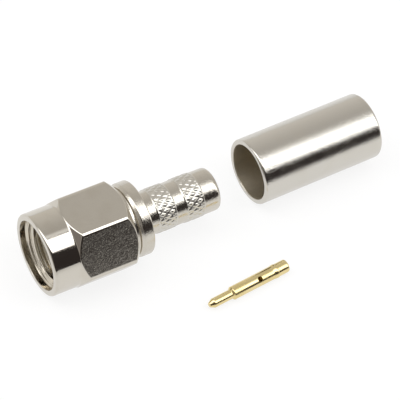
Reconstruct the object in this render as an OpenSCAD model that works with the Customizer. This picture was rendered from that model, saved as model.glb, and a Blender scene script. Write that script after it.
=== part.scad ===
// Crimp plug of a threaded coaxial connector, laid out as the three pieces that it is supplied in:
// the connector body with its captive coupling nut, the crimp ferrule and the centre contact.
// +X runs from the mating side to the cable side, +Z is up.
// The origin is on the connector's axis, in the mating plane: the front face of the outer contact.

/* [Coupling nut] */
// Distance across the flats of the hexagon
nut_across_flats = 8.0; // [7.9:0.05:8.2]
// Diameter of the bar that the hexagon is milled from, which leaves a narrow turned strip on each corner
nut_bar_d = 9.08; // [8.9:0.02:9.16]
// How far the nut's front end stands ahead of the mating plane
nut_overhang = 2.45; // [2.3:0.05:2.7]
// Diameter of the turned section ahead of the hexagon
nut_nose_d = 7.9; // [7.7:0.05:7.95]
// Whole length of the nut
nut_length = 8.45; // [8.4:0.05:8.6]
// Length of the turned section ahead of the hexagon's chamfer
nut_nose_length = 2.6; // [2.4:0.05:2.8]
// Crest diameter of the 1/4-36 internal thread
thread_minor_d = 5.68; // [5.60:0.01:5.74]
// Diameter of the plain lead-in ahead of the thread
lead_in_d = 6.7; // [6.5:0.05:6.8]
// Depth of the plain lead-in
lead_in_depth = 0.55; // [0.4:0.05:0.9]

/* [Connector body] */
// Outer diameter of the tubular outer contact
outer_contact_d = 4.55; // [4.45:0.01:4.59]
// Diameter of the insulator that fills the outer contact
insulator_d = 4.10; // [4.0:0.01:4.15]
// Diameter of the flange that the nut turns on, and of the neck behind the nut
flange_d = 6.38; // [6.34:0.01:6.40]
// Diameter of the collar behind the nut
collar_d = 7.16; // [6.9:0.02:7.4]
// Length of the collar
collar_length = 1.31; // [1.1:0.01:1.5]
// Diameter of the crimp stub between its knurled bands
stub_d = 4.18; // [4.1:0.02:4.22]
// Length of the crimp stub behind the collar
stub_length = 7.79; // [7.5:0.01:8.2]
// Bore of the crimp stub, for the cable's inner insulation
stub_bore_d = 3.05; // [3.0:0.05:3.2]

/* [Knurled bands] */
// Diameter over the knurl's diamonds
knurl_d = 4.32; // [4.24:0.02:4.40]
// Number of diamonds round each band
knurl_count = 24; // [20:1:28]
// Helix angle of the knurl's grooves, from the axis
knurl_angle = 30; // [27:1:33]
// Share of a diamond's width that its flat top takes
knurl_top_share = 0.6; // [0.4:0.05:0.7]

/* [Crimp ferrule] */
// Outer diameter of the ferrule
ferrule_d = 6.5; // [6.3:0.05:6.6]
// Bore of the ferrule
ferrule_bore_d = 5.5; // [5.4:0.05:5.6]
// Length of the ferrule
ferrule_length = 13.05; // [12:0.05:13.5]
// Gap between the stub's end and the ferrule as laid out
ferrule_gap = 4.55; // [4:0.05:8]

/* [Centre contact] */
// Diameter of the mating pin
pin_d = 0.91; // [0.90:0.01:0.93]
// Diameter of the contact's barrel
barrel_d = 1.27; // [1.25:0.01:1.29]
// Whole length of the contact
contact_length = 8.73; // [8.6:0.01:9.0]
// Length of the mating pin, from its tip to the barrel's shoulder
pin_length = 2.60; // [2.5:0.05:2.8]
// Bore of the barrel, for the cable's inner wire
wire_bore_d = 0.96; // [0.92:0.01:1.0]
// Diameter of the inspection hole in the barrel's side
inspection_hole_d = 0.5; // [0.4:0.05:0.6]

/* [Hidden] */
$fn = 96;

nickel = [0.76, 0.74, 0.70];
gold = [0.86, 0.72, 0.38];
spring_bronze = [0.72, 0.52, 0.34];
ptfe = [0.93, 0.93, 0.90];
silicone = [0.78, 0.22, 0.14];

past = 0.5;             // how far a cutting tool runs past the face that it opens
running = 0.06;         // radial clearance of the nut on the flange
floor_z = -nut_across_flats / 2;   // the nut lies on one of its flats

// Coupling nut, along X
nut_front = -nut_overhang;
nut_rear = nut_front + nut_length;
nut_r = nut_bar_d / 2;
nose_r = nut_nose_d / 2;
nose_end = nut_front + nut_nose_length;
rim_round = 0.33;       // round of the nose's front edge
mouth_bevel = 0.15;     // bevel of the mouth's edge
thread_start = nut_front + lead_in_depth;
thread_end = 1.5;       // where the thread runs out into the flange's bore
flange_bore_r = flange_d / 2 + running;
rear_face_r = nut_across_flats / 2 - 0.05;   // the rear chamfer just cuts into the flats

// Retaining ring and the two grooves that it lies in
ring_front = 3.9;
ring_w = 0.50;
ring_inner_r = 2.62;
ring_outer_r = 3.45;
body_groove_r = 2.55;
body_groove_w = 0.56;
nut_groove_r = 3.55;
nut_groove_front = ring_front - 0.08;
nut_groove_w = ring_w + 0.20;
ring_gap_w = 1.2;

// Connector body, along X
seat_start = 1.70;      // the gasket's seat begins behind the mating length of the outer contact
seat_r = outer_contact_d / 2 + 0.20;
flange_front = 2.65;
flange_edge = 0.10;
collar_front = nut_rear + 0.55;
collar_rear = collar_front + collar_length;
collar_r = collar_d / 2;
collar_front_round = 0.30;
collar_rear_round = 0.12;
stub_rear = collar_rear + stub_length;
stub_r = stub_d / 2;
stub_round = 0.38;
insulator_rear = 6.0;
insulator_play = 0.01;
contact_bore_r = 0.66;
gasket_w = 0.90;
gasket_outer_r = 2.98;

// Knurled bands: each is a whole number of half diamonds long
knurl_r = knurl_d / 2;
groove_r = stub_r + 0.02;
half_pitch_deg = 180 / knurl_count;
half_diamond = PI * knurl_r / knurl_count / tan(knurl_angle);
knurl_rows = 4;
knurl_length = knurl_rows * half_diamond;
knurl_starts = [collar_rear + 1.22, collar_rear + 4.14];
band_root_r = stub_r - 0.12;      // how deep the band's own solid reaches into the stub

// Centre contact, from its tip along its own axis
pin_r = pin_d / 2;
barrel_r = barrel_d / 2;
nose_length = 0.48;
nose_flat_r = 0.20;
shoulder = 0.18;
inspection_x = 5.5;
wire_bore_depth = 3.6;
barb_front = 7.05;      // a low barb round the barrel, which holds the contact in the insulator
barb_top = 7.40;
barb_rear = 7.58;
barb_r = barrel_r + 0.045;
rear_round = 0.14;

// Where the loose pieces lie on the floor, and how far each is turned about the vertical
ferrule_place = [stub_rear + ferrule_gap, 0.586, floor_z + ferrule_d / 2];
ferrule_turn = 1.09;
contact_place = [10.40, -9.62, floor_z + barb_r];
contact_turn = 5.33;

// A profile of [x, radius] points, turned about the X axis
module turned(profile) {
    rotate([0, 90, 0]) rotate_extrude() polygon([for (p = profile) [p[1], p[0]]]);
}

// A plain bore along X
module bore_x(from_x, to_x, r) {
    translate([from_x, 0, 0]) rotate([0, 90, 0]) cylinder(h = to_x - from_x, r = r);
}

// A quarter round of [x, radius] points between two angles, for the edge of a profile
function edge_round(x, r, size, a0, a1, steps = 6) =
    [for (i = [0:steps]) let (a = a0 + (a1 - a0) * i / steps) [x + size * cos(a), r + size * sin(a)]];

// Coupling nut: a hexagon milled on a turned blank, with the thread's crest as a plain bore
module coupling_nut() color(nickel) {
    difference() {
        union() {
            turned(concat(
                [[nut_front, 0]],
                edge_round(nut_front + rim_round, nose_r - rim_round, rim_round, 180, 90),
                [[nose_end, nose_r], [nose_end, 0]]));
            intersection() {
                translate([nose_end, 0, 0]) rotate([0, 90, 0])
                    linear_extrude(nut_rear - nose_end) rotate(90) circle(r = nut_across_flats / 2 / cos(30), $fn = 6);
                turned([[nose_end, 0], [nose_end, nose_r], [nose_end + nut_r - nose_r, nut_r],
                        [nut_rear - (nut_r - rear_face_r), nut_r], [nut_rear, rear_face_r], [nut_rear, 0]]);
            }
        }
        turned([[nut_front - past, 0], [nut_front - past, lead_in_d / 2 + mouth_bevel + past],
                [nut_front + mouth_bevel, lead_in_d / 2], [thread_start, lead_in_d / 2],
                [thread_start + (lead_in_d - thread_minor_d) / 2, thread_minor_d / 2],
                [thread_end, thread_minor_d / 2], [thread_end, 0]]);
        bore_x(thread_end - past, nut_rear + past, thread_minor_d / 2);
        bore_x(thread_end, nut_rear + past, flange_bore_r);
        bore_x(nut_groove_front, nut_groove_front + nut_groove_w, nut_groove_r);
    }
}

// One knurled band: rows of raised diamonds, each a flat top with four walls down to the grooves.
// Nodes lie on a lattice of half diamonds: those with an even index sum carry a top, the rest lie where
// two grooves cross. Every lattice triangle of a top and two crossings is split at the top's edge.
function lattice(r, k, j) = let (a = j * half_pitch_deg) [k * half_diamond, r * cos(a), r * sin(a)];
function is_top(k, j) = (k + j) % 2 == 0;
function between(top, crossing) = let (m = crossing + (top - crossing) * (1 - knurl_top_share),
    s = knurl_r / norm([m[1], m[2]])) [m[0], m[1] * s, m[2] * s];

module knurled_band() {
    n = 2 * knurl_count;
    node_points = [for (k = [0:knurl_rows], j = [0:n - 1]) lattice(is_top(k, j) ? knurl_r : groove_r, k, j)];
    // One point on each lattice line between a top and a crossing: first along X, then round the band
    along_points = [for (k = [0:knurl_rows - 1], j = [0:n - 1])
        is_top(k, j) ? between(lattice(knurl_r, k, j), lattice(groove_r, k + 1, j))
                     : between(lattice(knurl_r, k + 1, j), lattice(groove_r, k, j))];
    round_points = [for (k = [0:knurl_rows], j = [0:n - 1])
        is_top(k, j) ? between(lattice(knurl_r, k, j), lattice(groove_r, k, j + 1))
                     : between(lattice(knurl_r, k, j + 1), lattice(groove_r, k, j))];
    root_points = [for (k = [0, knurl_rows], j = [0:n - 1]) lattice(band_root_r, k, j)];
    along_0 = len(node_points);
    round_0 = along_0 + len(along_points);
    root_0 = round_0 + len(round_points);
    function N(k, j) = k * n + j % n;
    function A(k, j) = along_0 + k * n + j % n;
    function C(k, j) = round_0 + k * n + j % n;
    function B(e, j) = root_0 + e * n + j % n;
    // The top's corner cut off the triangle, then the wall below it as two triangles
    function split(top, p, q, cp, cq) = [[top, p, q], [p, cp, cq], [p, cq, q]];
    faces = concat(
        [for (k = [0:knurl_rows - 1], j = [0:n - 1], f = is_top(k, j)
            ? concat(split(N(k, j), A(k, j), C(k, j), N(k + 1, j), N(k, j + 1)),
                     split(N(k + 1, j + 1), A(k, j + 1), C(k + 1, j), N(k, j + 1), N(k + 1, j)))
            : concat(split(N(k, j + 1), C(k, j), A(k, j + 1), N(k, j), N(k + 1, j + 1)),
                     split(N(k + 1, j), C(k + 1, j), A(k, j), N(k + 1, j + 1), N(k, j)))) f],
        [for (j = [0:n - 1], f = [[B(0, j), N(0, j), C(0, j)], [B(0, j), C(0, j), N(0, j + 1)],
                                  [B(0, j), N(0, j + 1), B(0, j + 1)]]) f],
        [for (j = [0:n - 1], f = [[B(1, j), C(knurl_rows, j), N(knurl_rows, j)],
                                  [B(1, j), N(knurl_rows, j + 1), C(knurl_rows, j)],
                                  [B(1, j), B(1, j + 1), N(knurl_rows, j + 1)]]) f],
        [for (j = [0:n - 1], f = [[B(0, j), B(0, j + 1), B(1, j + 1)], [B(0, j), B(1, j + 1), B(1, j)]]) f]);
    polyhedron(points = concat(node_points, along_points, round_points, root_points), faces = faces);
}

// Connector body: outer contact, gasket seat, flange, collar and crimp stub, turned as one piece
module connector_body() color(nickel) {
    difference() {
        union() {
            turned(concat(
                [[0, 0], [0, outer_contact_d / 2], [seat_start, outer_contact_d / 2], [seat_start, seat_r],
                 [flange_front, seat_r], [flange_front, flange_d / 2 - flange_edge],
                 [flange_front + flange_edge, flange_d / 2],
                 [ring_front, flange_d / 2], [ring_front, body_groove_r],
                 [ring_front + body_groove_w, body_groove_r], [ring_front + body_groove_w, flange_d / 2],
                 [collar_front, flange_d / 2]],
                edge_round(collar_front + collar_front_round, collar_r - collar_front_round,
                           collar_front_round, 180, 90),
                edge_round(collar_rear - collar_rear_round, collar_r - collar_rear_round,
                           collar_rear_round, 90, 0),
                [[collar_rear, stub_r]],
                edge_round(stub_rear - stub_round, stub_r - stub_round, stub_round, 90, 0),
                [[stub_rear, 0]]));
            for (start = knurl_starts) translate([start, 0, 0]) knurled_band();
        }
        bore_x(-past, insulator_rear, insulator_d / 2);
        bore_x(insulator_rear - past, stub_rear + past, stub_bore_d / 2);
    }
}

// Insulator: a plain sleeve of fluoropolymer, flush with the outer contact
module insulator() color(ptfe) {
    difference() {
        bore_x(0, insulator_rear, insulator_d / 2 - insulator_play);
        bore_x(-past, insulator_rear + past, contact_bore_r);
    }
}

// Retaining ring: a split ring of square wire, in the body's groove and the nut's
module snap_ring() color(spring_bronze) {
    difference() {
        bore_x(ring_front, ring_front + ring_w, ring_outer_r);
        bore_x(ring_front - past, ring_front + ring_w + past, ring_inner_r);
        translate([ring_front - past, -ring_gap_w / 2, 0]) cube([ring_w + 2 * past, ring_gap_w, 2 * ring_outer_r]);
    }
}

// Sealing ring: a flat ring against the flange, which the mating connector's front end presses on
module gasket() color(silicone) {
    difference() {
        bore_x(flange_front - gasket_w, flange_front, gasket_outer_r);
        bore_x(flange_front - gasket_w - past, flange_front + past, seat_r + insulator_play);
    }
}

// Centre contact: the mating pin and the barrel that the cable's inner wire is soldered or crimped into
module center_contact() color(gold) {
    translate(contact_place) rotate([0, 0, contact_turn]) difference() {
        turned([[0, 0], [0, nose_flat_r], [nose_length, pin_r], [pin_length - shoulder, pin_r],
                [pin_length, barrel_r], [barb_front, barrel_r], [barb_top, barb_r], [barb_rear - 0.03, barb_r],
                [barb_rear, barrel_r], [contact_length - rear_round, barrel_r],
                [contact_length - rear_round / 3, barrel_r - rear_round / 3],
                [contact_length, barrel_r - rear_round], [contact_length, 0]]);
        bore_x(contact_length - wire_bore_depth, contact_length + past, wire_bore_d / 2);
        translate([inspection_x, 0, 0]) rotate([30, 0, 0]) cylinder(h = 1, d = inspection_hole_d);
    }
}

// Crimp ferrule: a thin tube that is slid over the braid and the stub, then pressed
module crimp_ferrule() color(nickel) {
    r = ferrule_d / 2;
    edge = 0.14;
    bore_edge = 0.08;
    translate(ferrule_place) rotate([0, 0, ferrule_turn]) difference() {
        turned(concat([[0, 0]], edge_round(edge, r - edge, edge, 180, 90, 4),
                      edge_round(ferrule_length - edge, r - edge, edge, 90, 0, 4), [[ferrule_length, 0]]));
        bore_x(-past, ferrule_length + past, ferrule_bore_d / 2);
        turned([[-past, 0], [-past, ferrule_bore_d / 2 + bore_edge + past], [bore_edge, ferrule_bore_d / 2],
                [bore_edge, 0]]);
        turned([[ferrule_length - bore_edge, 0], [ferrule_length - bore_edge, ferrule_bore_d / 2],
                [ferrule_length + past, ferrule_bore_d / 2 + bore_edge + past], [ferrule_length + past, 0]]);
    }
}

coupling_nut();
connector_body();
insulator();
snap_ring();
gasket();
center_contact();
crimp_ferrule();
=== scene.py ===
# %% [markdown]
# A crimp plug for thin coaxial cable, in the three loose pieces that it is sold in: a body that carries a
# captive hexagonal nut, a plain crimp ferrule, and a gold centre contact. The CAD model fixes every size.
# This script gives the pieces what a step away shows: true thread and knurl, broken edges, and plated metal.
# Polished metal has no look of its own. It shows the room, so the room is built here as carefully as the metal.

# %% Load the fixed frame
import math

import bpy
import numpy as np
from mathutils import Matrix, Vector


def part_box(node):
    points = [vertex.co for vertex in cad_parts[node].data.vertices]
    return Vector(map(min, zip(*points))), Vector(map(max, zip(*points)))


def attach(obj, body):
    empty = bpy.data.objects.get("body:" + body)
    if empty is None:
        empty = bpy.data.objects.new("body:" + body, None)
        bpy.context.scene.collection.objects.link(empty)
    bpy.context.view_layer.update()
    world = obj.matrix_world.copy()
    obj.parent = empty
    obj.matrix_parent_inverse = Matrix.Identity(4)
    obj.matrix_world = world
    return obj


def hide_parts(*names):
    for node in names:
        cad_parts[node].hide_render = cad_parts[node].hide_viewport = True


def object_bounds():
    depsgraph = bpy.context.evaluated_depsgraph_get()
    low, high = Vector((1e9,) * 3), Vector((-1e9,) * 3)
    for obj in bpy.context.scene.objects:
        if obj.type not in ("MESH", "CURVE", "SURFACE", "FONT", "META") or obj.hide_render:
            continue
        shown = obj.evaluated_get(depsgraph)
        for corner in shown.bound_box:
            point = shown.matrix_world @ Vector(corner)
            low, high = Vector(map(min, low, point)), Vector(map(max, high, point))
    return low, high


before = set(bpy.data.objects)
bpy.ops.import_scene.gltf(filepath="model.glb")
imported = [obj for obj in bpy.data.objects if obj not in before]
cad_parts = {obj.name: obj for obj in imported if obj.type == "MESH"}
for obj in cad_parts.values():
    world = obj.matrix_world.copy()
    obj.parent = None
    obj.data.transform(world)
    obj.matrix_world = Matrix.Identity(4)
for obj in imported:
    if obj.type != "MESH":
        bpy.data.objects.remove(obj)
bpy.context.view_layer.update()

# %% [markdown]
# Every size below is in metres. The nut's and the ferrule's main sizes are read from the CAD boxes, so that the
# dressed pieces can't drift from the solids. Only details that a box doesn't tell, such as a groove, are stated.

# %% Main sizes, read from the CAD boxes
MM = 0.001

nut_low, nut_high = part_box("coupling_nut")
nut_front, nut_rear = nut_low.x, nut_high.x
flat_r = nut_high.z                      # half of the distance across the flats
bar_r = nut_high.y                       # radius of the turned strip on each corner
body_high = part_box("connector_body")[1]
stub_rear, collar_r = body_high.x, body_high.y
insulator_low, insulator_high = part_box("insulator")
print("nut", round(1000 * (nut_rear - nut_front), 2), "mm long,", round(2000 * flat_r, 2), "mm across flats")

# %% [markdown]
# Most of the connector is turned on a lathe. A turned piece is a profile, a closed line of (x, radius) points,
# carried round an axis, which is one grid of points worked out at once. Blender's Spin and Screw would do it too,
# but here the radius may also change with the angle, which gives the hexagon, the thread and the knurl for free.
# Real edges are never knife-sharp, and it is the small round on an edge that catches the light, so every corner
# of a profile is rounded as it is made.

# %% A profile whose corners are rounded
ROUND_STEPS = 5
SHARE = 0.46


def rounded(corners, sizes, closed=True):
    """A profile with a quadratic Bezier curve in place of each corner.

    corners has the shape (corners, columns, 2), and sizes gives each corner's cut-back in metres. With unit
    vectors u to the corner before and v to the one after, and the cut-backs p and q along them, the curve is
    B(t) = P + p (1 - t)^2 u + q t^2 v. Each cut-back takes at most SHARE of its edge, so that two rounds never
    meet. One more point follows on each side, so that flat faces shade flat."""
    corners = np.asarray(corners, float)
    if corners.ndim == 2:
        corners = corners[:, None, :]
    before, after = np.roll(corners, 1, 0) - corners, np.roll(corners, -1, 0) - corners
    before_length = np.linalg.norm(before, axis=2, keepdims=True) + 1e-12
    after_length = np.linalg.norm(after, axis=2, keepdims=True) + 1e-12
    before, after = before / before_length, after / after_length
    t = np.linspace(0, 1, ROUND_STEPS)
    out = []
    for i, size in enumerate(sizes):
        point = corners[i]
        if not closed and i in (0, len(sizes) - 1):
            out.append(point)
            continue
        cut_before = np.minimum(size, SHARE * before_length[i])
        cut_after = np.minimum(size, SHARE * after_length[i])
        out.append(point + np.minimum(1.25 * cut_before, 0.49 * before_length[i]) * before[i])
        for step in t:
            out.append(point + cut_before * (1 - step) ** 2 * before[i] + cut_after * step ** 2 * after[i])
        out.append(point + np.minimum(1.25 * cut_after, 0.49 * after_length[i]) * after[i])
    return np.stack(out)


print("a corner becomes", ROUND_STEPS + 2, "points")

# %% [markdown]
# Rows of points become one skin, with a face between each four neighbours. It could be built face by face, but
# worked out as arrays it is quick and has no gaps. A closed skin whose faces all point outwards is what both the
# renderer and the export need.

# %% A grid of points made into a closed skin


def skin(name, points, poles=False):
    """A closed mesh from points of the shape (rows, columns, 3).

    Columns always close round the axis. Rows close too, as round the wall of a tube, or with poles the first and
    last rows are single points on the axis, as on a pin. The side on which the faces point is measured: the
    signed volume is the sum of p0 . (p1 x p2) / 6 over the triangles, and a negative one turns every face."""
    rows, columns, _ = points.shape
    j = np.arange(columns)
    nxt = (j + 1) % columns
    if poles:
        body = points[1:-1]
        coords = np.vstack([body.reshape(-1, 3), points[0, :1], points[-1, :1]])
        i = np.arange(rows - 3)
        first, last = len(coords) - 2, len(coords) - 1
        caps = [(first, int(b), int(a)) for a, b in zip(j, nxt)]
        end = (rows - 3) * columns
        caps += [(last, int(end + a), int(end + b)) for a, b in zip(j, nxt)]
        i_next = i + 1
    else:
        coords, caps = points.reshape(-1, 3), []
        i = np.arange(rows)
        i_next = (i + 1) % rows
    a = i[:, None] * columns + j
    b = i_next[:, None] * columns + j
    c = i_next[:, None] * columns + nxt
    d = i[:, None] * columns + nxt
    quads = np.stack([a, b, c, d], 2).reshape(-1, 4)
    p = coords[quads]
    volume = (np.einsum("ij,ij->i", p[:, 0], np.cross(p[:, 1], p[:, 2]))
              + np.einsum("ij,ij->i", p[:, 0], np.cross(p[:, 2], p[:, 3]))).sum() / 6
    if caps:
        q = coords[np.array(caps)]
        volume += np.einsum("ij,ij->i", q[:, 0], np.cross(q[:, 1], q[:, 2])).sum() / 6
    if volume < 0:
        quads = quads[:, ::-1]
        caps = [face[::-1] for face in caps]
    mesh = bpy.data.meshes.new(name)
    mesh.from_pydata(coords.tolist(), [], quads.tolist() + [list(f) for f in caps])
    mesh.shade_smooth()
    obj = bpy.data.objects.new(name, mesh)
    bpy.context.scene.collection.objects.link(obj)
    print(f"{name}: {len(mesh.polygons)} faces, {abs(volume) * 1e9:.1f} mm3")
    return obj


def round_x(x, r, angle):
    """Points at a height x along the axis, a radius r, and an angle from +Z towards -Y, right-handed about +X."""
    x, r, angle = np.broadcast_arrays(x, r, angle)
    return np.stack([x, -r * np.sin(angle), r * np.cos(angle)], -1)


# %% [markdown]
# The nut is a hexagon milled on a turned bar. A section through the hexagon is a radius for each angle: six flats,
# where the radius is flat_r / cos(angle from the middle of the flat), cut off at each corner by what is left of the
# bar. Both chamfers are cones, and where a cone meets a flat the edge is a curve that rises towards the corners.
# If each column of the grid gets its own profile, its corners follow that curve exactly, with no cutting at all.

# %% The nut's outline
NOSE_R = 3.95 * MM
NOSE_LENGTH = 2.60 * MM
REAR_FACE_R = 3.95 * MM
LEAD_IN_R = 3.35 * MM
LEAD_IN_DEPTH = 0.55 * MM
FLANGE_BORE_R = 3.25 * MM
RING_GROOVE_R = 3.55 * MM
RING_GROOVE = (3.82 * MM, 4.52 * MM)
THREAD_MINOR_R = 2.84 * MM
THREAD_MAJOR_R = 3.175 * MM
THREAD_PITCH = 25.4 * MM / 36
THREAD_END = 1.5 * MM
THREAD_START = 0.42                      # where in a turn the groove begins
EDGE_SOFTNESS = (0.045 * MM, 0.120 * MM) # the blend's width on the crispest and on the most worn corner
CRISP_CORNER = math.radians(30)          # angle of the crispest corner; the one opposite is as crisp
TOOL_PITCH = 0.115 * MM                  # the coarse rings that the boring tool leaves on the lead-in cone
TOOL_DEPTH = 0.012 * MM
FINE_DEPTH, FINE_ROWS = 2.0 * MM, 88     # the front stretch of the bore, whose rows are close enough for the rings


def soft_min(a, b, width):
    """The smaller of a and b, blended where they are closer than width.

    It is min(a, b) - width c^2 / 4, where c = 1 - |a - b| / width, and no less than 0."""
    closeness = np.maximum(0, 1 - np.abs(a - b) / width)
    return np.minimum(a, b) - width * closeness ** 2 / 4


def hexagon_columns():
    """Angles of the nut's columns: close together at the corners' strips, and even across the flats."""
    across_flat, at_corner = np.linspace(0, 24.5, 10), np.linspace(25.2, 29.75, 15)
    half = np.concatenate([across_flat, at_corner])
    one_flat = np.concatenate([-half[:0:-1], half])
    return np.radians(np.concatenate([60 * k + one_flat for k in range(6)]))


nut_angle = hexagon_columns()
from_flat = (nut_angle + math.radians(30)) % math.radians(60) - math.radians(30)
worn = np.sin(nut_angle - CRISP_CORNER) ** 2
softness = EDGE_SOFTNESS[0] + (EDGE_SOFTNESS[1] - EDGE_SOFTNESS[0]) * worn
hexagon_r = soft_min(flat_r / np.cos(from_flat), bar_r, softness)
print(len(nut_angle), "columns; radius from", round(1000 * hexagon_r.min(), 3), "to",
      round(1000 * hexagon_r.max(), 3), "mm")

# %% [markdown]
# The thread is 36 turns to the inch, right-handed. Unrolled, it is one groove that climbs a pitch for each turn, so
# the depth at a point depends only on x / pitch - angle / (2 pi), less its whole turns. A helical sweep would need
# its ends closed by hand. As a height over the bore it fades into the lead-in cone by itself, as a real one does.

# %% The internal thread as a height over the bore
GROOVE_HALF = 0.36                       # half of the groove's mouth, in turns
FLANK = 0.28                             # how far one flank reaches along the axis, in turns
FLANK_CURVE = 0.35                       # share of a smooth step in a flank; the rest of it is straight


def thread_radius(x, angle):
    """Radius of the thread, as a soft trapezoid of the phase x / pitch - angle / (2 pi).

    A flank reaches 0.28 of a pitch for a depth of 0.335 mm, so the two flanks of a groove meet at about 60 degrees."""
    phase = np.mod(x / THREAD_PITCH - angle / (2 * math.pi) + THREAD_START, 1.0)
    from_groove = np.abs(phase - 0.5)
    depth = np.clip((GROOVE_HALF - from_groove) / FLANK, 0, 1)
    depth = depth * depth * (3 - 2 * depth) * FLANK_CURVE + depth * (1 - FLANK_CURVE)
    return THREAD_MINOR_R + (THREAD_MAJOR_R - THREAD_MINOR_R) * depth


def nut_profile():
    """The nut's closed profile for every column: outside from front to rear, then the bore from rear to front.

    The chamfers rise at 45 degrees, so each reaches as far along the axis as the column's radius is over its foot.
    Rounds are in millimetres."""
    n = len(nut_angle)

    def level(x, r):
        return np.stack([np.broadcast_to(x, n), np.broadcast_to(r, n)], -1)

    nose_end = nut_front + NOSE_LENGTH
    outside = [level(nut_front, LEAD_IN_R), level(nut_front, NOSE_R), level(nose_end, NOSE_R),
               level(nose_end + (hexagon_r - NOSE_R), hexagon_r),
               level(nut_rear - (hexagon_r - REAR_FACE_R), hexagon_r), level(nut_rear, REAR_FACE_R)]
    outside_round = [0.05, 0.22, 0.10, 0.12, 0.06, 0.04]
    bore = [level(nut_rear, FLANGE_BORE_R), level(RING_GROOVE[1], FLANGE_BORE_R),
            level(RING_GROOVE[1], RING_GROOVE_R), level(RING_GROOVE[0], RING_GROOVE_R),
            level(RING_GROOVE[0], FLANGE_BORE_R),
            level(THREAD_END, FLANGE_BORE_R)]
    bore_round = [0.10, 0.02, 0.02, 0.02, 0.02, 0.02]
    front = [level(nut_front + LEAD_IN_DEPTH, LEAD_IN_R)]
    front_round = [0.03]
    # The threaded stretch is put in between, row by row
    coarse = np.arange(THREAD_END - 0.002 * MM, nut_front + FINE_DEPTH, -THREAD_PITCH / 20)
    fine = np.linspace(nut_front + FINE_DEPTH, nut_front + LEAD_IN_DEPTH + 0.01 * MM, FINE_ROWS)
    x = np.concatenate([coarse, fine])[:, None]
    cone = LEAD_IN_R - (x - nut_front - LEAD_IN_DEPTH) + TOOL_DEPTH * np.sin(2 * math.pi * x / TOOL_PITCH)
    radius = np.maximum(thread_radius(x, nut_angle[None, :]), cone)
    threaded = np.stack([np.broadcast_to(x, radius.shape), radius], -1)
    corners = np.stack(outside + bore + front)
    sizes = [s * MM for s in outside_round + bore_round + front_round]
    smooth = rounded(corners, sizes)
    split = (len(outside) + len(bore)) * (ROUND_STEPS + 2)
    return np.concatenate([smooth[:split], threaded, smooth[split:]])


profile = nut_profile()
nut = skin("nut_shell", round_x(profile[..., 0], profile[..., 1], nut_angle[None, :]))

# %% [markdown]
# The flats are milled, the outside is turned and polished, and the bore is left as it was cut. That is three
# finishes on one mesh, so numbers on each vertex say which it is: milled is 1 on a flat, and as_cut_and_painted_light is 1 on the
# inside. A flat's vertices are those whose distance from the axis, measured square to the flat, is flat_r.

# %% Mark the milled flats and the surfaces left as cut
FLAT_HAIR = 0.004 * MM                   # how far off its plane a flat's vertex may be
FLAT_REACH = 27.9                        # where a flat ends, in degrees from its middle
IN_BORE_R = 3.36 * MM                    # everything nearer the axis than this is bore
RIM = 0.08 * MM                          # the mouth's rim, which is polished with the outside


def mark(obj, name, choose):
    """Writes a number on each vertex: 1 where choose(x, y, z) holds, 0 elsewhere."""
    co = np.empty(len(obj.data.vertices) * 3, np.float32)
    obj.data.vertices.foreach_get("co", co)
    chosen = choose(*co.reshape(-1, 3).T)
    obj.data.attributes.new(name, "FLOAT", "POINT").data.foreach_set("value", chosen.astype(np.float32))
    print(obj.name, int(chosen.sum()), "vertices", name)


def on_flat(x, y, z):
    """Within a hair of one of the six flat planes, and not on the rounded corners between them."""
    off = np.mod(np.arctan2(-y, z) + math.radians(30), math.radians(60)) - math.radians(30)
    return (np.abs(np.hypot(y, z) * np.cos(off) - flat_r) < FLAT_HAIR) & (np.abs(np.degrees(off)) < FLAT_REACH)


mark(nut, "milled", on_flat)
# This mark also places painted shade: the nut's bore is coloured darker and warmer than the outside.
mark(nut, "as_cut_and_painted_light", lambda x, y, z: (np.hypot(y, z) < IN_BORE_R) & (x > nut_front + RIM))

# %% [markdown]
# The body is one turned piece: the thin tube that mates, the flange inside the nut, the collar, and the stub that
# the braid is crimped on. Its two knurled bands are rolled. Two sets of grooves cross at 30 degrees to the axis
# and leave rows of small blunt diamonds. In lattice units u and v, which grow across each set of grooves, a
# groove lies at every half, so the height is a smooth step of the distance to the nearest groove in either.
# Rolling only pushes the metal aside, so a low bead stands at both ends of each band.

# %% The knurl as a height over the stub
STUB_R = 2.09 * MM
KNURL_R = 2.16 * MM
KNURL_ROOT_R = 2.110 * MM
KNURL_COUNT = 24
KNURL_ROWS = 4
KNURL_WALL = (0.08, 0.36)                # where a wall begins and ends, from the groove's middle, in lattice units
HALF_DIAMOND = math.pi * KNURL_R / KNURL_COUNT / math.tan(math.radians(30))
HALF_PITCH = math.pi / KNURL_COUNT
LATTICE_STEPS = 8
BEAD_AT, BEAD_HALF, BEAD_HEIGHT = 0.10 * MM, 0.10 * MM, 0.055 * MM
body_columns = 2 * KNURL_COUNT * LATTICE_STEPS
body_angle = np.linspace(0, 2 * math.pi, body_columns, endpoint=False)


def knurl_radius(x, angle):
    """Radius of a knurled band that starts at x = 0: soft walls between flat grooves and blunt tops."""
    a, b = x / HALF_DIAMOND, angle / HALF_PITCH
    u, v = (a + b) / 2, (a - b) / 2
    off_groove = np.minimum(0.5 - np.abs(u - np.round(u)), 0.5 - np.abs(v - np.round(v)))
    height = np.clip((off_groove - KNURL_WALL[0]) / (KNURL_WALL[1] - KNURL_WALL[0]), 0, 1)
    height = height * height * (3 - 2 * height)
    from_end = np.minimum(x, KNURL_ROWS * HALF_DIAMOND - x)
    end = np.clip(from_end / (0.5 * HALF_DIAMOND), 0, 1)
    fade = end * end * (3 - 2 * end)
    low = STUB_R + (KNURL_ROOT_R - STUB_R) * fade
    bead = STUB_R + BEAD_HEIGHT * np.maximum(0, 1 - ((from_end - BEAD_AT) / BEAD_HALF) ** 2)
    return np.maximum(low + (KNURL_R - KNURL_ROOT_R) * fade * height, bead)


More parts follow.
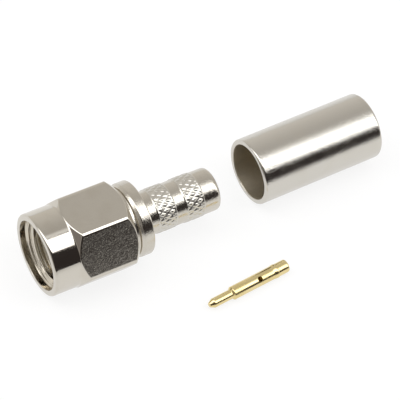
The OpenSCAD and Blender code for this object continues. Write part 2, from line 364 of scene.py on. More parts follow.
# %% [markdown]
# The rest of the body is one profile. It runs back along the outside, over the mating tube, the gasket's seat, the
# flange, the retaining ring's groove, the collar and the stub, and returns through the bores. The knurled bands are
# rows put into the stub's stretch, so that band, stub and collar are one skin, as on a piece turned from one bar.

# %% The body's profile
COLLAR_LENGTH = 1.31 * MM
COLLAR_BEVEL = (0.33 * MM, 0.19 * MM)
STUB_LENGTH = 7.79 * MM
KNURL_STARTS = (1.22 * MM, 4.14 * MM)
STUB_BORE_R = 1.525 * MM
FLANGE_R = 3.19 * MM
OUTER_CONTACT_R = 2.275 * MM
SEAT_R = 2.475 * MM                      # the gasket's seat, behind the outer contact
SEAT_FROM, FLANGE_FROM = 1.70 * MM, 2.65 * MM
BODY_GROOVE = (3.90 * MM, 4.46 * MM)     # the groove that holds the retaining ring
BODY_GROOVE_R = 2.55 * MM
INSULATOR_R = 2.05 * MM

collar_rear = stub_rear - STUB_LENGTH
collar_front = collar_rear - COLLAR_LENGTH


def band_rows(start):
    """The rows of one knurled band, from its front to its rear, as (rows, columns, 2) of x and radius.

    One plain row more stands just outside each end, so that the smooth stub beside the band shades straight."""
    length = KNURL_ROWS * HALF_DIAMOND
    x = np.linspace(0, length, KNURL_ROWS * LATTICE_STEPS + 1)
    x = np.concatenate([[-0.02 * MM], x, [length + 0.02 * MM]])[:, None]
    radius = np.where((x < 0) | (x > length), STUB_R, knurl_radius(x, body_angle[None, :]))
    return np.stack([np.broadcast_to(x + start, radius.shape), radius], -1)


def body_profile():
    """The body's closed profile: the outside from the mating face to the stub's end, then the bores back.

    Each corner is (x, radius, round), with the round in millimetres."""
    front = [(0, OUTER_CONTACT_R, 0.02), (SEAT_FROM, OUTER_CONTACT_R, 0.02), (SEAT_FROM, SEAT_R, 0.02),
             (FLANGE_FROM, SEAT_R, 0.02), (FLANGE_FROM, FLANGE_R, 0.08),
             (BODY_GROOVE[0], FLANGE_R, 0.02), (BODY_GROOVE[0], BODY_GROOVE_R, 0.02),
             (BODY_GROOVE[1], BODY_GROOVE_R, 0.02), (BODY_GROOVE[1], FLANGE_R, 0.02)]
    front += [(collar_front, FLANGE_R, 0.13), (collar_front, collar_r - COLLAR_BEVEL[1], 0.05),
              (collar_front + COLLAR_BEVEL[0], collar_r, 0.05), (collar_rear, collar_r, 0.14),
              (collar_rear, STUB_R, 0.08)]
    rear = [(stub_rear, STUB_R, 0.42), (stub_rear, STUB_BORE_R, 0.06), (insulator_high.x, STUB_BORE_R, 0.02),
            (insulator_high.x, INSULATOR_R, 0.02), (0, INSULATOR_R, 0.02)]
    corners = np.array([(x, r) for x, r, _ in front + rear])
    smooth = rounded(corners, [s * MM for _, _, s in front + rear])
    smooth = np.broadcast_to(smooth, (len(smooth), body_columns, 2))
    split = len(front) * (ROUND_STEPS + 2)
    bands = [band_rows(collar_rear + start) for start in KNURL_STARTS]
    return np.concatenate([smooth[:split], *bands, smooth[split:]])


profile = body_profile()
body = skin("body_shell", round_x(profile[..., 0], profile[..., 1], body_angle[None, :]))


def in_band(x, y, z):
    """Inside one of the two knurled bands."""
    starts = [collar_rear + start + 0.02 * MM for start in KNURL_STARTS]
    ends = [start + KNURL_ROWS * HALF_DIAMOND - 0.04 * MM for start in starts]
    return (np.hypot(y, z) > 2.0 * MM) & np.any([(x > a) & (x < b) for a, b in zip(starts, ends)], axis=0)


# This mark also places a painted highlight: the knurled bands are coloured a lighter, more neutral nickel.
mark(body, "as_cut_and_painted_light", in_band)

# %% [markdown]
# The insulator is a plain sleeve of white fluoropolymer, and the ferrule a cut length of drawn tube whose ends are
# lightly tumbled. The ferrule lies on the table a little askew, so it is made along X and then turned in its mesh.

# %% The insulator and the ferrule
PLAIN_COLUMNS = 160
plain_angle = np.linspace(0, 2 * math.pi, PLAIN_COLUMNS, endpoint=False)


def turned(name, corners, sizes, place=None, poles=False):
    """A turned piece from (x, radius) corners and their rounds in metres, moved by the matrix place."""
    smooth = rounded(np.array(corners), sizes, closed=not poles)
    points = round_x(smooth[..., 0], smooth[..., 1], plain_angle[None, :])
    obj = skin(name, points, poles)
    if place is not None:
        obj.data.transform(place)
    return obj


CONTACT_HOLE_R = 0.66 * MM
insulator = turned(
    "insulator_sleeve",
    [(insulator_low.x, insulator_high.z), (insulator_high.x, insulator_high.z),
     (insulator_high.x, CONTACT_HOLE_R), (insulator_low.x, CONTACT_HOLE_R)],
    [0.03 * MM, 0.03 * MM, 0.05 * MM, 0.05 * MM])

FERRULE_TURN = math.radians(1.09)
FERRULE_WALL = 0.50 * MM
ferrule_low, ferrule_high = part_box("crimp_ferrule")
ferrule_r = (ferrule_high.z - ferrule_low.z) / 2
ferrule_span = ferrule_high.x - ferrule_low.x
ferrule_length = (ferrule_span - 2 * ferrule_r * math.sin(FERRULE_TURN)) / math.cos(FERRULE_TURN)
ferrule_middle = (ferrule_low + ferrule_high) / 2
print("ferrule length", round(1000 * ferrule_length, 2), "mm")
ferrule_place = Matrix.Translation(ferrule_middle) @ Matrix.Rotation(FERRULE_TURN, 4, "Z")
half_length = ferrule_length / 2
ferrule = turned(
    "ferrule_tube",
    [(-half_length, ferrule_r), (half_length, ferrule_r),
     (half_length, ferrule_r - FERRULE_WALL), (-half_length, ferrule_r - FERRULE_WALL)],
    [0.21 * MM, 0.21 * MM, 0.13 * MM, 0.13 * MM])
# This mark also places painted shade: the ferrule's bore is coloured a darker, browner nickel.
mark(ferrule, "as_cut_and_painted_light", lambda x, y, z: (np.hypot(y, z) < ferrule_r - FERRULE_WALL + 0.02 * MM)
     & (np.abs(x) < half_length - 0.05 * MM))
ferrule.data.transform(ferrule_place)

# %% [markdown]
# The centre contact is turned from rod: a conical nose, the mating pin, a shoulder that stops against the
# insulator, a barrel, and a low barb that holds it there. The wire goes into a blind bore in its rear end. It is one
# line that starts on the axis at the nose and ends on the axis at the bottom of that bore. A small inspection hole
# in the side lets solder in. It crosses the grid at an angle, so it is cut with a Boolean modifier, then applied.

# %% The centre contact
BARREL_R = 0.635 * MM
CONTACT_TURN = math.radians(5.33)
CONTACT_TIP = Vector((10.40, -9.62, -3.32)) * MM
INSPECTION_R = 0.25 * MM
INSPECTION_AT = 5.5 * MM
INSPECTION_TILT = math.radians(30)

contact_place = Matrix.Translation(CONTACT_TIP) @ Matrix.Rotation(CONTACT_TURN, 4, "Z")
contact_line = [                                      # x, radius and round, in millimetres
    (0, 0, 0), (0, 0.20, 0.07), (0.48, 0.455, 0.06),                                   # conical nose
    (2.42, 0.455, 0.03), (2.60, 0.635, 0.04),                                          # pin and shoulder
    (7.05, 0.635, 0.05), (7.40, 0.68, 0.03), (7.55, 0.68, 0.03), (7.58, 0.635, 0.02),  # barrel and barb
    (8.73, 0.635, 0.16), (8.73, 0.48, 0.03), (5.13, 0.48, 0.02), (5.13, 0, 0)]         # rear end and wire bore
contact = turned("contact_pin", [(x * MM, r * MM) for x, r, _ in contact_line],
                 [s * MM for _, _, s in contact_line], contact_place, poles=True)


def drill(obj, centre, direction, radius, length):
    """Cuts a round hole from centre along direction with an exact Boolean, and bakes the cut into the mesh."""
    ring = round_x(np.array([0, length])[:, None], radius, np.linspace(0, 2 * math.pi, 48, endpoint=False)[None, :])
    ends = round_x(np.array([0, length])[:, None], 0, np.zeros(48)[None, :])
    cutter = skin("cutter", np.concatenate([ends[:1], ring, ends[1:]]), poles=True)
    cutter.data.transform(Matrix.Translation(centre) @ direction.to_track_quat("X", "Z").to_matrix().to_4x4())
    cut = obj.modifiers.new("hole", "BOOLEAN")
    cut.operation, cut.solver, cut.object = "DIFFERENCE", "EXACT", cutter
    bpy.context.view_layer.update()
    finished = bpy.data.meshes.new_from_object(obj.evaluated_get(bpy.context.evaluated_depsgraph_get()))
    obj.modifiers.clear()
    obj.data = finished
    bpy.data.objects.remove(cutter)
    print(obj.name, "drilled,", len(finished.polygons), "faces")


hole_side = Vector((0, -math.sin(INSPECTION_TILT), math.cos(INSPECTION_TILT)))
drill(contact, contact_place @ Vector((INSPECTION_AT, 0, 0)), contact_place.to_3x3() @ hole_side,
      INSPECTION_R, 2 * BARREL_R)
contact.data.shade_smooth()
contact.data.set_sharp_from_angle(angle=math.radians(40))

# %% [markdown]
# Each new piece stands for one CAD node and moves with that node's body. The gasket and the retaining ring are
# plain shapes deep inside the nut, so their CAD meshes stay and only get a finish.

# %% Who rides on what
for piece, node, body_name, slot in (
        (nut, "coupling_nut", "nut", "nut_nickel"),
        (body, "connector_body", "connector", "body_nickel"),
        (insulator, "insulator", "connector", "fluoropolymer"),
        (ferrule, "crimp_ferrule", "connector", "ferrule_nickel"),
        (contact, "center_contact", "connector", "gold")):
    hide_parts(node)
    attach(piece, body_name)

# %% [markdown]
# A finish is built from a few effects that several metals share, so each effect is a node group. A group takes
# the place on the piece and gives back a value that changes over the surface. The shader itself stays in the
# material. First come three small helpers that make nodes and link them, so that the recipes stay readable.

# %% Helpers for node trees


def add(tree, kind, settings=None, **inputs):
    """Adds a node. settings are its own properties; inputs are values, or sockets to link from.

    An input is named by its socket, with _ for a space, or by its number: i0 is the first one."""
    node = tree.nodes.new(kind)
    for key, value in (settings or {}).items():
        setattr(node, key, value)
    for key, value in inputs.items():
        socket = node.inputs[int(key[1:])] if key[1:].isdigit() else node.inputs[key.replace("_", " ")]
        if isinstance(value, bpy.types.NodeSocket):
            tree.links.new(value, socket)
        else:
            socket.default_value = value
    return node


def math_node(tree, operation, *values):
    """One Math node; its inputs are numbers or sockets. Returns its output."""
    return add(tree, "ShaderNodeMath", {"operation": operation},
               **{f"i{k}": value for k, value in enumerate(values)}).outputs[0]


def remap(tree, value, low, high, out_low, out_high):
    """A smooth step: low gives out_low, high gives out_high, with no corner at either end."""
    return add(tree, "ShaderNodeMapRange", {"interpolation_type": "SMOOTHSTEP"}, i0=value, i1=low, i2=high,
               i3=out_low, i4=out_high).outputs[0]


def group(name, inputs, outputs):
    """An empty node group with named sockets. Returns the tree, its input node and a function that sets an output."""
    tree = bpy.data.node_groups.new(name, "ShaderNodeTree")
    for socket, kind, value in inputs:
        made = tree.interface.new_socket(name=socket, in_out="INPUT", socket_type="NodeSocket" + kind)
        if value is not None:
            made.default_value = value
    for socket, kind in outputs:
        tree.interface.new_socket(name=socket, in_out="OUTPUT", socket_type="NodeSocket" + kind)
    entry, leave = tree.nodes.new("NodeGroupInput"), tree.nodes.new("NodeGroupOutput")
    return tree, entry, lambda name, value: tree.links.new(value, leave.inputs[name])


# %% [markdown]
# Turning leaves rings: a fine groove for each turn of the bar, and broader rings where the tool paused. Their
# pattern changes quickly along the axis and with the radius, and hardly at all round the axis. So the noise is
# read at (x, radius, a little of y and z), which stretches it into rings on a barrel and on an end face alike.

# %% Turning marks as a group


def turning_marks():
    """Rings from 4 scales of noise on (x, radius): Marks is centred on 0.5, Height is for a Bump node."""
    tree, entry, out = group("turning marks", [("Place", "Vector", None), ("Rings per mm", "Float", 14.0),
                                               ("Run-out", "Float", 0.08)], [("Marks", "Float"), ("Height", "Float")])
    place = add(tree, "ShaderNodeSeparateXYZ", Vector=entry.outputs["Place"])
    x, y, z = place.outputs
    radius = math_node(tree, "SQRT", math_node(tree, "ADD", math_node(tree, "MULTIPLY", y, y),
                                               math_node(tree, "MULTIPLY", z, z)))
    per_metre = math_node(tree, "MULTIPLY", entry.outputs["Rings per mm"], 1000.0)
    wobble = math_node(tree, "MULTIPLY", per_metre, entry.outputs["Run-out"])
    rings = add(tree, "ShaderNodeCombineXYZ", X=math_node(tree, "MULTIPLY", x, per_metre),
                Y=math_node(tree, "MULTIPLY", radius, per_metre), Z=math_node(tree, "MULTIPLY", y, wobble))
    fine = add(tree, "ShaderNodeTexNoise", Vector=rings.outputs[0], Scale=1.0, Detail=2.0, Roughness=0.6)
    broad = add(tree, "ShaderNodeTexNoise", Vector=rings.outputs[0], Scale=0.17, Detail=1.0, Roughness=0.5)
    marks = math_node(tree, "ADD", math_node(tree, "MULTIPLY", fine.outputs[0], 0.6),
                      math_node(tree, "MULTIPLY", broad.outputs[0], 0.4))
    out("Marks", marks)
    out("Height", fine.outputs[0])
    return tree


# %% [markdown]
# Loose parts rub on each other in their bag. That leaves soft dull patches a few millimetres across, with faint
# short scratches that cross in all directions. The patches are plain noise, and the scratches are noise stretched
# along one direction, kept only where it is near its middle value, which draws thin lines.

# %% Handling marks as a group


def handling_marks():
    """Dullness in 0 to 1: soft patches, plus thin lines where |stretched noise - 0.5| is almost nothing."""
    tree, entry, out = group("handling marks", [("Place", "Vector", None), ("Patch size mm", "Float", 2.0),
                                                ("Scratches", "Float", 0.5)], [("Dull", "Float"), ("Lines", "Float")])
    per_metre = math_node(tree, "DIVIDE", 1000.0, entry.outputs["Patch size mm"])
    scaled = add(tree, "ShaderNodeVectorMath", {"operation": "SCALE"}, Vector=entry.outputs["Place"],
                 Scale=per_metre).outputs[0]
    patches = add(tree, "ShaderNodeTexNoise", Vector=scaled, Scale=1.0, Detail=3.0, Roughness=0.55).outputs[0]
    lines = None
    for turn, stretch in (((0.4, 0.9, 0.3), (0.5, 7.0, 7.0)), ((1.2, 0.2, 2.0), (0.4, 9.0, 9.0))):
        turned_place = add(tree, "ShaderNodeMapping", Vector=scaled, Rotation=turn, Scale=stretch).outputs[0]
        drawn = add(tree, "ShaderNodeTexNoise", Vector=turned_place, Scale=1.0, Detail=0.0).outputs[0]
        off_middle = math_node(tree, "ABSOLUTE", math_node(tree, "SUBTRACT", drawn, 0.5))
        line = remap(tree, off_middle, 0.004, 0.016, 1.0, 0.0)
        lines = line if lines is None else math_node(tree, "MAXIMUM", lines, line)
    lines = math_node(tree, "MULTIPLY", lines, remap(tree, patches, 0.50, 0.66, 0.0, 1.0))
    dull = remap(tree, patches, 0.40, 0.70, 0.0, 1.0)
    out("Lines", math_node(tree, "MULTIPLY", lines, entry.outputs["Scratches"]))
    out("Dull", math_node(tree, "MAXIMUM", dull, math_node(tree, "MULTIPLY", lines, entry.outputs["Scratches"])))
    return tree


# %% [markdown]
# A face mill leaves a satin surface, and nickel plating keeps its grain. From a step away it is an even, fine
# speckle. Two sizes of noise, both much finer than a tenth of a millimetre, give the speckle and its height.

# %% Satin grain as a group


def satin_grain():
    """Speckle centred on 0.5 from two sizes of noise, and its Height for a Bump node."""
    tree, entry, out = group("satin grain", [("Place", "Vector", None), ("Grain mm", "Float", 0.08)],
                             [("Speckle", "Float"), ("Height", "Float")])
    per_metre = math_node(tree, "DIVIDE", 1000.0, entry.outputs["Grain mm"])
    scaled = add(tree, "ShaderNodeVectorMath", {"operation": "SCALE"}, Vector=entry.outputs["Place"],
                 Scale=per_metre).outputs[0]
    grain = add(tree, "ShaderNodeTexNoise", Vector=scaled, Scale=1.0, Detail=2.0, Roughness=0.65).outputs[0]
    clumps = add(tree, "ShaderNodeTexNoise", Vector=scaled, Scale=0.3, Detail=1.0, Roughness=0.5).outputs[0]
    speckle = math_node(tree, "ADD", math_node(tree, "MULTIPLY", grain, 0.7),
                        math_node(tree, "MULTIPLY", clumps, 0.3))
    out("Speckle", speckle)
    out("Height", grain)
    return tree


TURNING, HANDLING, SATIN = turning_marks(), handling_marks(), satin_grain()
print("groups:", [g.name for g in (TURNING, HANDLING, SATIN)])

# %% [markdown]
# Bright nickel on brass is a warm grey mirror. Its colour is what it reflects head on: about two thirds of red and
# a bit less of blue. The turned faces are nearly mirrors, and the milled flats are satin. The bores are coloured a
# darker, warmer nickel: painted shade for the light lost inside them. The knurled bands are coloured a lighter,
# more neutral one: a painted highlight. One material reads both numbers from the mesh and mixes its finishes with
# them.

# %% Plated metal
NICKEL = (0.650, 0.613, 0.545, 1.0)
NICKEL_TARNISHED = (0.600, 0.555, 0.480, 1.0)
PLAIN_NICKEL = (0.655, 0.628, 0.575, 1.0)
# Painted shade: the nut's bore is coloured darker and warmer than its outside.
NUT_BORE_PAINTED_SHADE = (0.640, 0.590, 0.500, 1.0)
# Painted highlight: the knurled bands are coloured a lighter, more neutral nickel than the rest of the body.
KNURL_PAINTED_HIGHLIGHT = (0.670, 0.645, 0.590, 1.0)
# Painted shade: the ferrule's bore is coloured a darker, browner nickel than its outside.
FERRULE_BORE_PAINTED_SHADE = (0.570, 0.515, 0.415, 1.0)
GOLD = (0.870, 0.725, 0.390, 1.0)
GOLD_DEEP = (0.800, 0.640, 0.290, 1.0)
FLAT_GRAIN = 0.22                        # height of the flecks on a milled flat, in hundredths of a millimetre
FLAT_SPREAD = 0.22                       # how much the speckle changes a flat's roughness
CUT_BUMP = 0.5                           # height of the rings on a surface left as cut, in the same unit
DULLING = 0.8                            # how much of the spread a dull patch adds


def new_material(name):
    """A material with only a Principled shader and an output; returns it, its tree and the shader."""
    material = bpy.data.materials.new(name)
    material.use_nodes = True
    tree = material.node_tree
    tree.nodes.clear()
    shader = tree.nodes.new("ShaderNodeBsdfPrincipled")
    output = tree.nodes.new("ShaderNodeOutputMaterial")
    tree.links.new(shader.outputs[0], output.inputs["Surface"])
    return material, tree, shader


def grouped(tree, shared, **inputs):
    """Places a shared group in a material and sets its inputs."""
    return add(tree, "ShaderNodeGroup", {"node_tree": shared}, **inputs).outputs


def place_on(tree, centre=None):
    """Object coordinates, turned and moved back on to the X axis where the piece doesn't lie on it."""
    place = add(tree, "ShaderNodeTexCoord").outputs["Object"]
    if centre is None:
        return place
    back = centre.inverted()
    return add(tree, "ShaderNodeMapping", Vector=place, Location=back.to_translation(),
               Rotation=back.to_euler()).outputs[0]


def mix_colour(tree, factor, a, b):
    """A blend of two colours by a factor in 0 to 1."""
    return add(tree, "ShaderNodeMix", {"data_type": "RGBA"}, i0=factor, i6=a, i7=b).outputs[2]


def plated(name, colours, rough, spread, rings=14.0, bump=0.05, satin=None, cut=None, centre=None, grain_mm=0.08,
           grain=0.0):
    """Metal whose roughness is rough + spread (marks - 0.5) + DULLING spread dull, and colour a mix by dull / 2.

    Where the mesh says milled, the roughness is satin + FLAT_SPREAD (speckle - 0.5). On the surfaces left as cut,
    the roughness is cut[0] and the colour is cut[1], which is painted light: a darker painted shade in a bore, and a
    lighter painted highlight on the knurl."""
    material, tree, shader = new_material(name)
    place = place_on(tree, centre)
    marks = grouped(tree, TURNING, Place=place, Rings_per_mm=rings)
    wear = grouped(tree, HANDLING, Place=place)
    speck = grouped(tree, SATIN, Place=place, Grain_mm=grain_mm)
    varied = math_node(tree, "MULTIPLY_ADD", math_node(tree, "SUBTRACT", marks["Marks"], 0.5), spread, rough)
    varied = math_node(tree, "MULTIPLY_ADD", wear["Dull"], spread * DULLING, varied)
    height = math_node(tree, "MULTIPLY", marks["Height"], bump)
    height = math_node(tree, "MULTIPLY_ADD", speck["Height"], grain, height)
    if satin is not None:
        milled = add(tree, "ShaderNodeAttribute", {"attribute_name": "milled"}).outputs["Fac"]
        flat = math_node(tree, "MULTIPLY_ADD", math_node(tree, "SUBTRACT", speck["Speckle"], 0.5), FLAT_SPREAD,
                         satin)
        varied = add(tree, "ShaderNodeMix", i0=milled, i2=varied, i3=flat).outputs[0]
        flecks = remap(tree, speck["Height"], 0.48, 0.78, 0.0, FLAT_GRAIN)
        height = add(tree, "ShaderNodeMix", i0=milled, i2=height, i3=flecks).outputs[0]
    colour = mix_colour(tree, math_node(tree, "MULTIPLY", wear["Dull"], 0.5), *colours)
    if cut is not None:
        as_cut_and_painted_light = add(tree, "ShaderNodeAttribute", {"attribute_name": "as_cut_and_painted_light"}).outputs["Fac"]
        varied = add(tree, "ShaderNodeMix", i0=as_cut_and_painted_light, i2=varied, i3=cut[0]).outputs[0]
        height = add(tree, "ShaderNodeMix", i0=as_cut_and_painted_light, i2=height,
                     i3=math_node(tree, "MULTIPLY", marks["Marks"], CUT_BUMP)).outputs[0]
        # The colour of the surfaces left as cut is painted light: shade in a bore, a highlight on the knurl.
        colour = mix_colour(tree, as_cut_and_painted_light, colour, cut[1])
    bumped = add(tree, "ShaderNodeBump", Strength=1.0, Distance=0.01 * MM, Height=height).outputs[0]
    tree.links.new(colour, shader.inputs["Base Color"])
    tree.links.new(varied, shader.inputs["Roughness"])
    tree.links.new(bumped, shader.inputs["Normal"])
    shader.inputs["Metallic"].default_value = 1.0
    return material


# The nut's bore colour is painted shade.
nut_nickel = plated("nut_nickel", (NICKEL, NICKEL_TARNISHED), 0.07, 0.06, satin=0.17,
                    cut=(0.14, NUT_BORE_PAINTED_SHADE), grain_mm=0.17)
# The body's knurl colour is a painted highlight.
body_nickel = plated("body_nickel", (NICKEL, NICKEL_TARNISHED), 0.16, 0.08,
                     cut=(0.27, KNURL_PAINTED_HIGHLIGHT), grain_mm=0.12, grain=1.20)
# The ferrule's bore colour is painted shade.
ferrule_nickel = plated("ferrule_nickel", (PLAIN_NICKEL, NICKEL), 0.14, 0.07, rings=9.0, bump=0.03,
                        cut=(0.55, FERRULE_BORE_PAINTED_SHADE), centre=ferrule_place, grain_mm=0.16, grain=1.80)
gold = plated("gold", (GOLD, GOLD_DEEP), 0.18, 0.10, rings=20.0, centre=contact_place)
spring_bronze = plated("spring_bronze", ((0.72, 0.44, 0.26, 1.0), (0.52, 0.30, 0.17, 1.0)), 0.24, 0.15)

# %% [markdown]
# The fluoropolymer is white and waxy: light goes a little way in, and its skin is a soft gloss. The gasket is
# silicone rubber, dull and dusty. Neither is metal, so colour, a broad mottle and roughness carry them.

# %% Fluoropolymer and silicone


def moulded(name, colours, rough, spread, mottle_mm, scatter=0.0):
    """A plastic or rubber: two colours mixed by broad noise, and roughness and bump from fine noise."""
    material, tree, shader = new_material(name)
    place = place_on(tree)
    broad = grouped(tree, SATIN, Place=place, Grain_mm=mottle_mm)["Speckle"]
    fine = grouped(tree, SATIN, Place=place, Grain_mm=0.05)
    tree.links.new(mix_colour(tree, remap(tree, broad, 0.35, 0.65, 0.0, 1.0), *colours), shader.inputs["Base Color"])
    tree.links.new(math_node(tree, "MULTIPLY_ADD", math_node(tree, "SUBTRACT", fine["Speckle"], 0.5), spread, rough),
                   shader.inputs["Roughness"])
    tree.links.new(add(tree, "ShaderNodeBump", Strength=0.5, Distance=0.01 * MM, Height=fine["Height"]).outputs[0],
                   shader.inputs["Normal"])
    if scatter:
        shader.inputs["Subsurface Weight"].default_value = scatter
        shader.inputs["Subsurface Radius"].default_value = (1.0, 1.0, 0.9)
        shader.inputs["Subsurface Scale"].default_value = 0.3 * MM
    return material


fluoropolymer = moulded("fluoropolymer", ((0.84, 0.84, 0.80, 1.0), (0.78, 0.78, 0.73, 1.0)), 0.38, 0.15, 0.9, 0.3)
silicone = moulded("silicone", ((0.58, 0.09, 0.04, 1.0), (0.48, 0.07, 0.035, 1.0)), 0.55, 0.2, 0.6)

for obj, material in ((nut, nut_nickel), (body, body_nickel), (insulator, fluoropolymer),
                      (ferrule, ferrule_nickel), (contact, gold)):
    obj.data.materials.clear()
    obj.data.materials.append(material)
for node, material in (("snap_ring", spring_bronze), ("gasket", silicone)):
    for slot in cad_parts[node].material_slots:
        slot.material = material
print("finishes:", sorted(m.name for m in bpy.data.materials if m.users))

# %% [markdown]
# The set lies on a white table in a studio. Polished metal shows the studio, so the studio is the light. One long
# soft box hangs overhead, square to the camera, with a thin dark frame on its far edge and a glow on the ceiling
# beyond. Further back the wall is an even, slightly warm grey, which grows lighter down to the table. On the camera's
# side everything above the table is dark, but for some daylight at the left. The world shader paints this by
# direction alone: alpha is the angle from straight up towards the camera's side, and beta is the one along the box.

# %% The soft box and the walls
STUDIO_TURN = math.radians(-36.6)
ALONG = Vector((math.cos(STUDIO_TURN), math.sin(STUDIO_TURN), 0))
NEARWARDS = Vector((math.sin(STUDIO_TURN), -math.cos(STUDIO_TURN), 0))
BOX_FROM, BOX_TO = math.radians(-7.3), math.radians(24.5)
BOX_ENDS = (math.radians(-65), math.radians(70))
BOX_LEVEL = 2.6
WALL_HIGH, WALL_LOW = 0.51, 0.76
HALO_LEVEL = 0.95
FRAME_LEVEL = 0.15
DARK_LEVEL = 0.036
DAYLIGHT = 0.42
EDGE_HALF = math.radians(0.8)
WALL_SPAN = (-90, -5)                    # alpha in degrees: from the table's height up to the ceiling
HALO_EDGE, FRAME_EDGE = (-19, -13), (-9.6, -8.8)
DAYLIGHT_EDGE = (-20, -4)                # beta in degrees, where the daylight ends
DAYLIGHT_FAR, DAYLIGHT_FAR_SHARE = (-62, -32), 0.55      # and where it grows weaker, further to the left
WALL_COLOUR = (1.0, 0.965, 0.91, 1.0)
DARK_COLOUR = (1.0, 0.84, 0.80, 1.0)
BOX_COLOUR = (1.0, 1.0, 1.0, 1.0)


def dot(tree, vector, constant):
    """The dot product of a vector socket and a fixed vector."""
    return add(tree, "ShaderNodeVectorMath", {"operation": "DOT_PRODUCT"}, i0=vector, i1=constant).outputs["Value"]


world = bpy.data.worlds.new("studio")
bpy.context.scene.world = world
world.use_nodes = True
tree = world.node_tree
tree.nodes.clear()
direction = add(tree, "ShaderNodeTexCoord").outputs["Generated"]
height = dot(tree, direction, (0, 0, 1))
alpha = math_node(tree, "ARCTAN2", dot(tree, direction, NEARWARDS), height)
beta = math_node(tree, "ARCTAN2", dot(tree, direction, ALONG), height)


def ramp(value, low, high, out_low, out_high):
    """A smooth step between two angles in degrees."""
    return remap(tree, value, math.radians(low), math.radians(high), out_low, out_high)


def blend(factor, a, b):
    """The number a where the factor is 0, and b where it is 1."""
    return add(tree, "ShaderNodeMix", i0=factor, i2=a, i3=b).outputs[0]


wall = ramp(alpha, *WALL_SPAN, WALL_LOW, WALL_HIGH)
within = math_node(tree, "MULTIPLY", remap(tree, beta, BOX_ENDS[0] - EDGE_HALF, BOX_ENDS[0] + EDGE_HALF, 0.0, 1.0),
                   remap(tree, beta, BOX_ENDS[1] - EDGE_HALF, BOX_ENDS[1] + EDGE_HALF, 1.0, 0.0))
in_halo = math_node(tree, "MULTIPLY", within, ramp(alpha, *HALO_EDGE, 0.0, 1.0))
in_frame = math_node(tree, "MULTIPLY", within, ramp(alpha, *FRAME_EDGE, 0.0, 1.0))
in_box = math_node(tree, "MULTIPLY", within,
                   remap(tree, alpha, BOX_FROM - EDGE_HALF, BOX_FROM + EDGE_HALF, 0.0, 1.0))
near_side = remap(tree, alpha, BOX_TO - EDGE_HALF, BOX_TO + EDGE_HALF, 0.0, 1.0)
at_left = math_node(tree, "MULTIPLY", ramp(beta, *DAYLIGHT_EDGE, 1.0, 0.0),
                    ramp(beta, *DAYLIGHT_FAR, DAYLIGHT_FAR_SHARE, 1.0))
level = blend(in_box, blend(in_frame, blend(in_halo, wall, HALO_LEVEL), FRAME_LEVEL), BOX_LEVEL)
level = blend(near_side, level, math_node(tree, "MULTIPLY_ADD", at_left, DAYLIGHT, DARK_LEVEL))
path = add(tree, "ShaderNodeLightPath").outputs
seen = math_node(tree, "MAXIMUM", path["Is Camera Ray"], path["Is Transmission Ray"])
strength = blend(seen, level, 1.0)
overhead = math_node(tree, "MULTIPLY", in_halo, math_node(tree, "SUBTRACT", 1.0, near_side))
white_share = math_node(tree, "MAXIMUM", overhead, seen)
brown_share = math_node(tree, "MULTIPLY", near_side, math_node(tree, "SUBTRACT", 1.0, at_left))
colour = mix_colour(tree, brown_share, WALL_COLOUR, DARK_COLOUR)
background = add(tree, "ShaderNodeBackground", Color=mix_colour(tree, white_share, colour, BOX_COLOUR),
                 Strength=strength)
tree.links.new(background.outputs[0], add(tree, "ShaderNodeOutputWorld").inputs["Surface"])

# %% [markdown]
# The table is one large white sheet under the lowest point. Part of its white is its own glow, seen by the camera
# and by mirrors alike, so it stays white without more light on the parts. The rest is plain diffuse white, and
# that part goes darker where the pieces keep the light off, which leaves their soft shadow. In the metal the sheet
# shows its far end merging with the wall, and its near part fading and then dropping off into the dark side.

# %% The table
TABLE_HALF = 1.5
FAR_END = (-0.16, -0.03)
NEAR_FADE = (0.0, 0.05)
NEAR_END = (0.09, 0.12)
NEAR_DIM = 0.78                          # how bright the near part still is, before it drops off
MIRRORED_LEVEL = 0.93
SHEET_WHITE = (0.86, 0.86, 0.86, 1.0)    # what it throws back on to the pieces
SHADED_WHITE = (0.20, 0.20, 0.20, 1.0)   # the share that shows shadow
GLOW = 0.82
table_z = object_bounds()[0].z
table_mesh = bpy.data.meshes.new("table")
table_mesh.from_pydata([(-TABLE_HALF, -TABLE_HALF, table_z), (TABLE_HALF, -TABLE_HALF, table_z),
                        (TABLE_HALF, TABLE_HALF, table_z), (-TABLE_HALF, TABLE_HALF, table_z)], [], [(0, 1, 2, 3)])
table = bpy.data.objects.new("table", table_mesh)
bpy.context.scene.collection.objects.link(table)

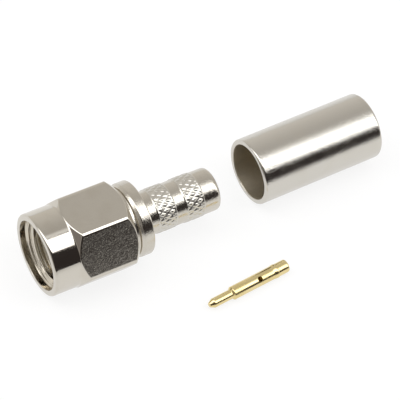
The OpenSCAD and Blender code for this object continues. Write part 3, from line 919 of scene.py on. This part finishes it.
material = bpy.data.materials.new("white_sheet")
material.use_nodes = True
tree = material.node_tree
tree.nodes.clear()
path = add(tree, "ShaderNodeLightPath").outputs
direct = math_node(tree, "MAXIMUM", path["Is Camera Ray"],
                   math_node(tree, "MAXIMUM", path["Is Glossy Ray"], path["Is Transmission Ray"]))
nearwards = dot(tree, add(tree, "ShaderNodeTexCoord").outputs["Object"], NEARWARDS)
mirrored = math_node(tree, "MULTIPLY", remap(tree, nearwards, *FAR_END, WALL_LOW, MIRRORED_LEVEL),
                     remap(tree, nearwards, *NEAR_END, 1.0, DARK_LEVEL))
mirrored = math_node(tree, "MULTIPLY", mirrored, remap(tree, nearwards, *NEAR_FADE, 1.0, NEAR_DIM))
mirrored = add(tree, "ShaderNodeMix", i0=path["Is Glossy Ray"], i2=1.0, i3=mirrored).outputs[0]
plain = add(tree, "ShaderNodeBsdfDiffuse", Color=SHEET_WHITE).outputs[0]
shaded = add(tree, "ShaderNodeBsdfDiffuse", Color=mix_colour(tree, mirrored, (0, 0, 0, 1.0), SHADED_WHITE))
glow = add(tree, "ShaderNodeEmission", Color=(1.0, 1.0, 1.0, 1.0),
           Strength=math_node(tree, "MULTIPLY", mirrored, GLOW)).outputs[0]
white = add(tree, "ShaderNodeAddShader", i0=shaded.outputs[0], i1=glow).outputs[0]
mixed = add(tree, "ShaderNodeMixShader", i0=direct, i1=plain, i2=white).outputs[0]
tree.links.new(mixed, add(tree, "ShaderNodeOutputMaterial").inputs["Surface"])
table_mesh.materials.append(material)

# %% [markdown]
# The camera stands at the near left, well above the table, with a long lens from a hand's length away, and is
# tipped a few degrees so that the row runs from the lower left to the upper right.

# %% The camera
AZIMUTH, ELEVATION, ROLL = math.radians(-36.626), math.radians(51.688), math.radians(8.919)
AIM = Vector((14.0909, -0.8051, 0.0)) * MM
DISTANCE = 205.772 * MM
LENS, SENSOR = 200.54, 36.0              # millimetres, as the camera wants them

back = Vector((math.sin(AZIMUTH) * math.cos(ELEVATION), -math.cos(AZIMUTH) * math.cos(ELEVATION),
               math.sin(ELEVATION)))
right = Vector((math.cos(AZIMUTH), math.sin(AZIMUTH), 0))
up = back.cross(right)
tipped_right = math.cos(ROLL) * right + math.sin(ROLL) * up
tipped_up = -math.sin(ROLL) * right + math.cos(ROLL) * up
turn = Matrix((tipped_right, tipped_up, back)).transposed().to_4x4()
camera_data = bpy.data.cameras.new("camera")
camera_data.lens = LENS
camera_data.sensor_width = SENSOR
camera_data.clip_start = 0.01
camera = bpy.data.objects.new("camera", camera_data)
bpy.context.scene.collection.objects.link(camera)
camera.matrix_world = Matrix.Translation(AIM + back * DISTANCE) @ turn
bpy.context.scene.camera = camera

# %% [markdown]
# The picture keeps plain tone settings, so a colour shows as it is written. The dressed one may not be larger.

# %% Finish
bpy.context.scene.view_settings.view_transform = "Standard"
